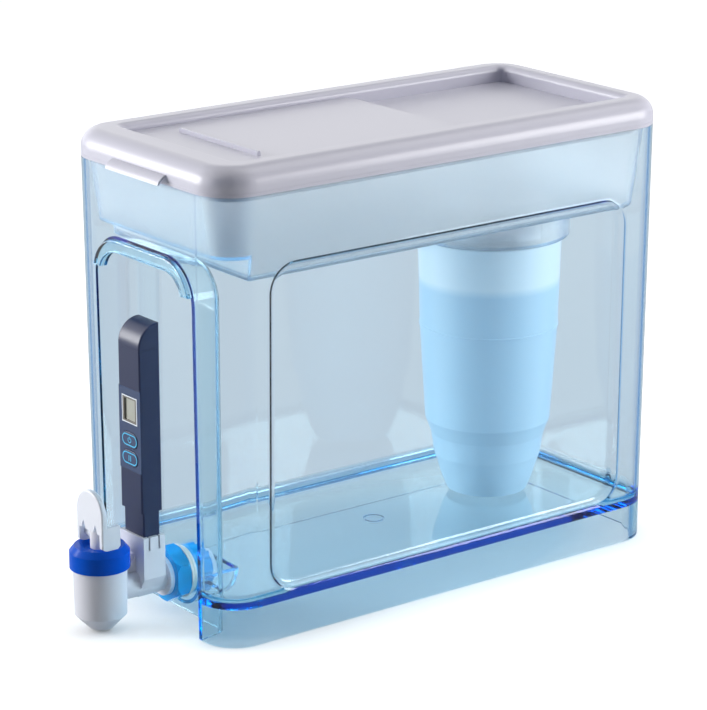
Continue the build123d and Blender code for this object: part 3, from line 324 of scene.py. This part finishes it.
# ---- stage ----------------------------------------------------------------------------------
def paper_floor():
    """Pale floor with the object's shadow. It glows for the camera, less near a contact: a painted
    contact shadow.

    Light that came through the clear plastic goes on to the room behind. Under the tank it meets
    the table, which glows blue there: a painted pool of the tank's blue light.
    """
    mat, graph, bsdf = finish("floor_white", Base_Color=(0.60, 0.61, 0.62, 1), Roughness=0.8,
                              Specular_IOR_Level=0.1)
    path = graph.add("LightPath")
    # painted contact shadow: ambient occlusion darkens the camera glow near the object
    contact = graph.add("AmbientOcclusion", Distance=0.045, samples=8)
    glow = graph.add("Emission")
    painted_shadow_glow = graph.times(graph.times(contact.outputs["AO"], 0.76), path.outputs["Is Camera Ray"])
    graph.link(painted_shadow_glow, glow.inputs["Strength"])
    paper = graph.add("AddShader")
    graph.link(bsdf.outputs[0], paper.inputs[0])
    graph.link(glow.outputs[0], paper.inputs[1])

    place = graph.add("TexCoord")
    spread = graph.add("VectorMath", operation="MULTIPLY")
    spread.inputs[1].default_value = (1 / FOOTPRINT[0], 1 / FOOTPRINT[1], 0)
    graph.link(place.outputs["Object"], spread.inputs[0])
    far = graph.add("VectorMath", operation="LENGTH")
    graph.link(spread.outputs[0], far.inputs[0])
    outside = graph.add("MapRange", From_Min=0.9, From_Max=1.6)
    graph.link(far.outputs["Value"], outside.inputs["Value"])
    inside = graph.add("Math", operation="SUBTRACT")
    inside.inputs[0].default_value = 1.0
    graph.link(outside.outputs["Result"], inside.inputs[1])

    through = path.outputs["Is Transmission Ray"]
    # painted pool of blue light: seen through the plastic, the table under the tank glows blue
    blue = graph.add("Emission", Color=(0.24, 0.42, 0.63, 1))
    blue_pool_share = graph.times(graph.times(through, inside.outputs[0]), 0.35)
    table = graph.mix(blue_pool_share, paper.outputs[0], blue.outputs[0])
    away = graph.add("BsdfTransparent")
    surface = graph.mix(graph.times(through, outside.outputs["Result"]), table, away.outputs[0])
    graph.link(surface, graph["Material Output"].inputs["Surface"])
    return mat


bpy.ops.mesh.primitive_plane_add(size=12.0, location=(0, 0, -0.0005))
floor = bpy.context.object
floor.name = "floor"
floor.data.materials.append(paper_floor())


# ---- room -----------------------------------------------------------------------------------
# The room is brightest behind the object and dark behind the camera. Light that came through the
# clear plastic sees a grey screen straight ahead and deep blue beside it, which draws the edges.
scene.world = bpy.data.worlds.new("studio")
sky = Graph(scene.world)
sky["Background"].inputs["Color"].default_value = (1, 1, 1, 1)
place = sky.add("TexCoord")


def lean(axis, **ends):
    """How far the light's direction leans to an axis, mapped from -1 and 1 to these ends."""
    along = sky.add("VectorMath", operation="DOT_PRODUCT")
    along.inputs[1].default_value = axis
    sky.link(place.outputs["Generated"], along.inputs[0])
    scale = sky.add("MapRange", From_Min=-1.0, **ends)
    sky.link(along.outputs["Value"], scale.inputs["Value"])
    return scale.outputs["Result"]


def room(stops):
    """Background whose colour goes from behind the camera (0) to straight ahead (1)."""
    ramp = sky.add("ValToRGB")
    while len(ramp.color_ramp.elements) < len(stops):
        ramp.color_ramp.elements.new(0.5)
    for element, (spot, *colour) in zip(ramp.color_ramp.elements, stops):
        element.position = spot
        element.color = (*colour, 1)
    sky.link(ahead, ramp.inputs["Fac"])
    light = sky.add("Background")
    sky.link(ramp.outputs["Color"], light.inputs["Color"])
    return light


ahead = lean(VIEW_AHEAD)
even = room([(0.0, 0.03, 0.03, 0.03), (0.3, 0.10, 0.10, 0.105), (0.5, 0.29, 0.30, 0.31),
             (0.75, 0.48, 0.49, 0.5), (1.0, 0.58, 0.59, 0.6)])
screens = room([(0.0, 0.26, 0.36, 0.50), (0.2, 0.14, 0.32, 0.58), (0.32, 0.90, 0.95, 1.0),
                (0.62, 0.90, 0.95, 1.0), (0.74, 0.03, 0.16, 0.50), (0.86, 0.14, 0.34, 0.64),
                (0.94, 0.61, 0.62, 0.70), (1.0, 0.70, 0.69, 0.74)])
mirrored = room([(0.0, 0.02, 0.07, 0.16), (0.15, 0.06, 0.14, 0.26), (0.3, 1.0, 1.0, 1.0),
                 (0.7, 1.0, 1.0, 1.0), (0.8, 0.4, 0.4, 0.42), (1.0, 0.8, 0.8, 0.8)])
# the softbox on the left is the brighter one
sky.link(lean(VIEW_RIGHT, To_Min=3.0, To_Max=0.55), mirrored.inputs["Strength"])
path = sky.add("LightPath")
seen = even.outputs[0]
for flag, light in (("Is Glossy Ray", mirrored), ("Is Transmission Ray", screens),
                    ("Is Camera Ray", sky["Background"])):
    seen = sky.mix(path.outputs[flag], seen, light.outputs[0])
sky.link(seen, sky["World Output"].inputs["Surface"])


# ---- lamps and camera -----------------------------------------------------------------------
def lamp(name, spot, height, size, power):
    """Square area lamp that looks at the height over the origin."""
    data = bpy.data.lights.new(name, "AREA")
    data.shape = "RECTANGLE"
    data.size = data.size_y = size
    data.energy = power
    obj = bpy.data.objects.new(name, data)
    scene.collection.objects.link(obj)
    obj.location = spot
    look = Vector((0, 0, height)) - Vector(spot)
    obj.rotation_euler = look.to_track_quat("-Z", "Y").to_euler()


lamp("left", (-1.15, -1.4, 0.6), 0.15, 0.9, 31)
lamp("right", (1.25, 1.4, 0.6), 0.15, 0.9, 26)
lamp("top", (0.2, 0.9, 2.0), 0.1, 1.4, 8.5)

SENSOR = 36.0                           # mm
FOCAL_PIXELS = 3028.7                   # fitted to the photograph's edges, 710 pixels high
AZIMUTH, ELEVATION = math.radians(52.61), math.radians(16.7)
camera_data = bpy.data.cameras.new("camera")
camera = bpy.data.objects.new("camera", camera_data)
scene.collection.objects.link(camera)
scene.camera = camera
camera_data.sensor_width = SENSOR
camera_data.lens = FOCAL_PIXELS / 710 * SENSOR
camera_data.clip_end = 50.0
camera.location = (1.5675, -1.1865, 0.7410)
looking = Vector((
    -math.sin(AZIMUTH) * math.cos(ELEVATION),
    math.cos(AZIMUTH) * math.cos(ELEVATION),
    -math.sin(ELEVATION),
))
camera.rotation_euler = looking.to_track_quat("-Z", "Y").to_euler()

scene.view_settings.view_transform = "Standard"
scene.cycles.max_bounces = 32
scene.cycles.transmission_bounces = 32
scene.cycles.glossy_bounces = 32        # light that stays inside a wall counts as glossy
scene.cycles.transparent_max_bounces = 24
scene.cycles.diffuse_bounces = 4
scene.cycles.sample_clamp_indirect = 4.0
